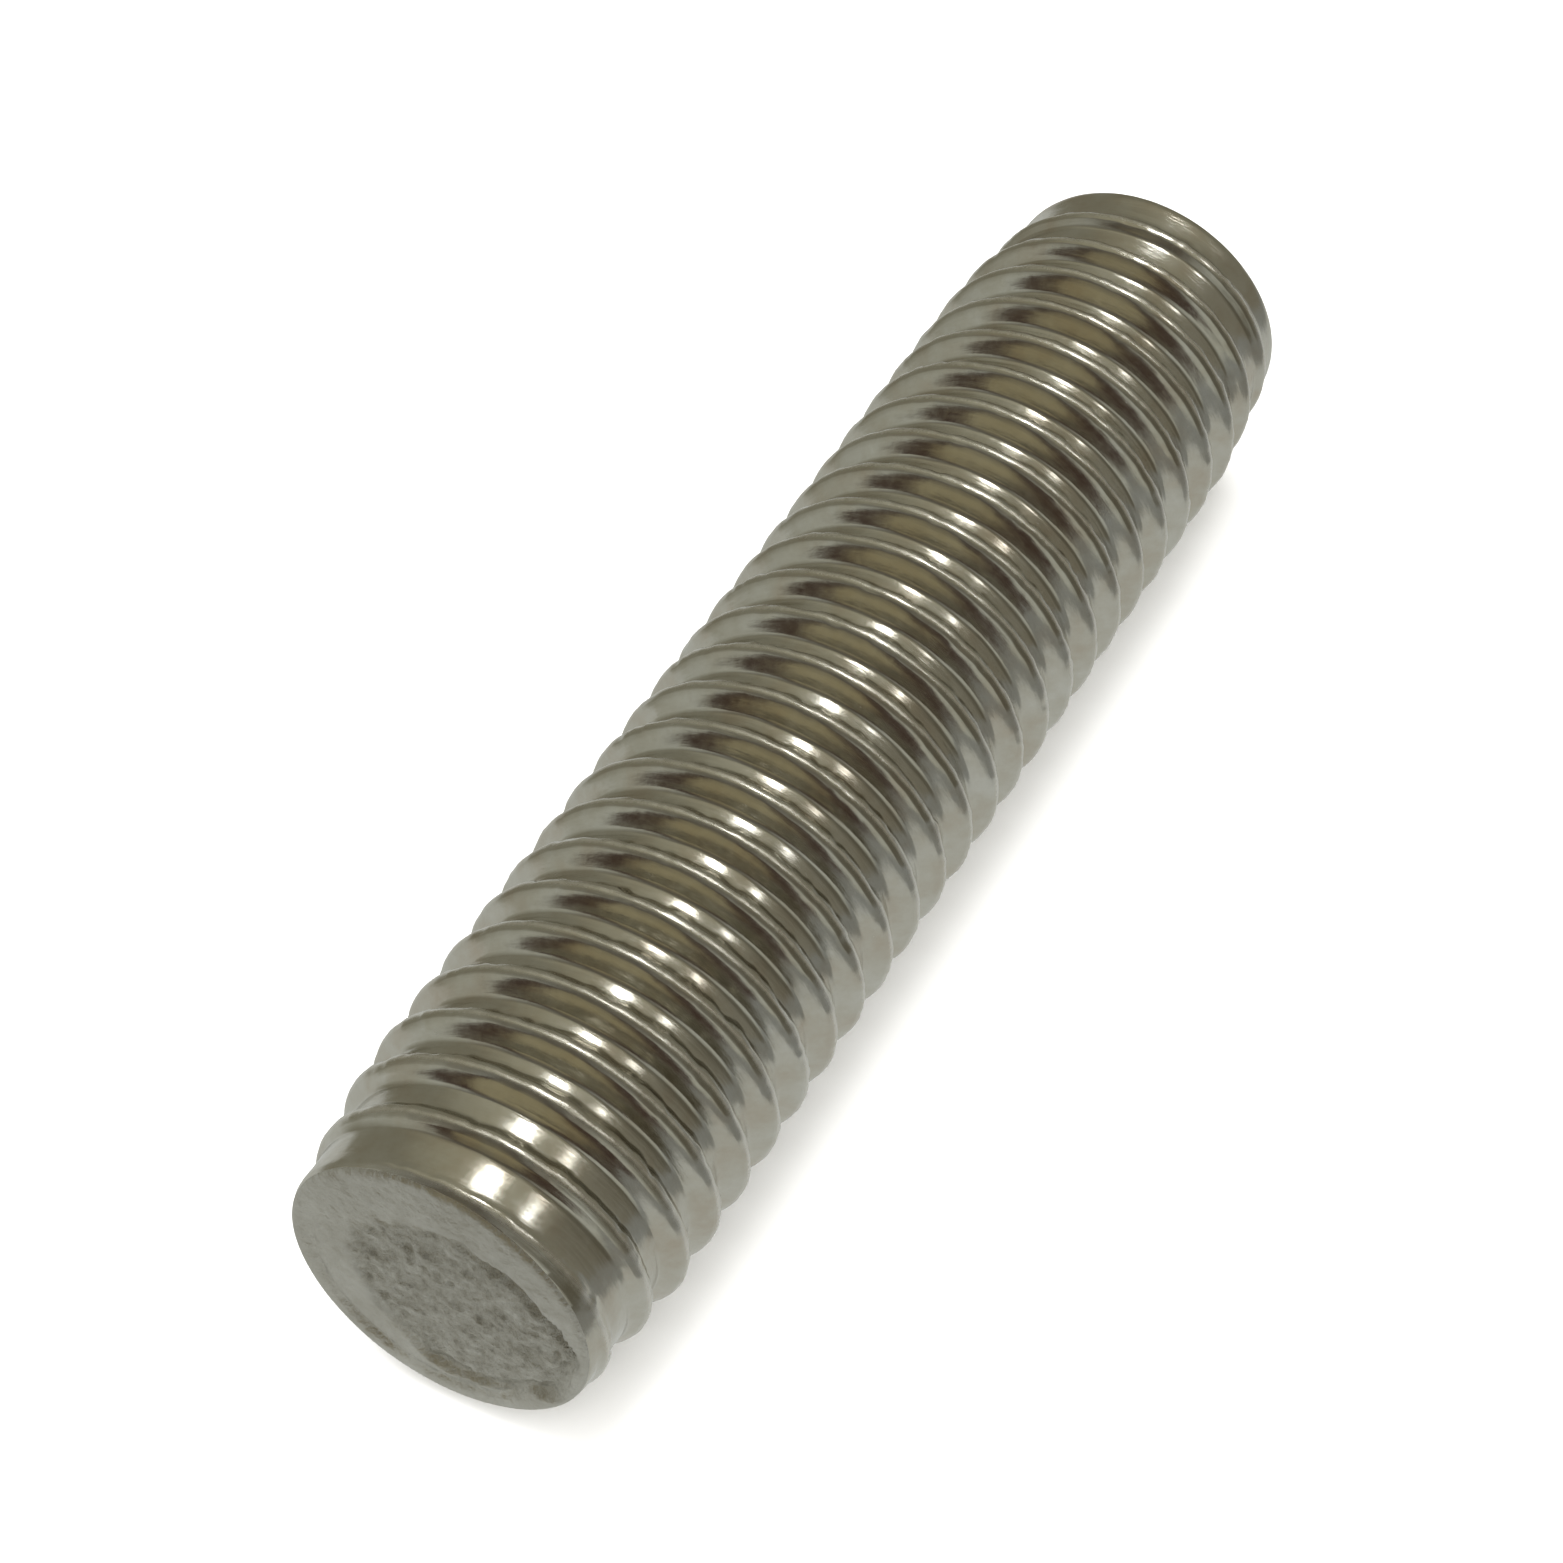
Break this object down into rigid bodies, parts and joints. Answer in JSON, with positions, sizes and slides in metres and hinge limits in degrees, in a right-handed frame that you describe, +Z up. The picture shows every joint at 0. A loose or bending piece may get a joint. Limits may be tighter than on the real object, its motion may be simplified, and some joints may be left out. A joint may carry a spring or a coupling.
{
  "type": "fully threaded stud",
  "caption": "Short steel stud, threaded over its whole length, with a bevelled flat face at each end.",
  "frame": {"origin": "middle of the stud, on its axis", "axes": "+X along the stud's axis, +Z up as it lies"},
  "size_m": [0.033, 0.0078, 0.0078],
  "materials": {
    "plain_steel": "rolled thread, bright but not polished; ends sheared and dull"
  },
  "bodies": {
    "root": {"threaded_stud": "plain_steel"}
  },
  "joints": []
}
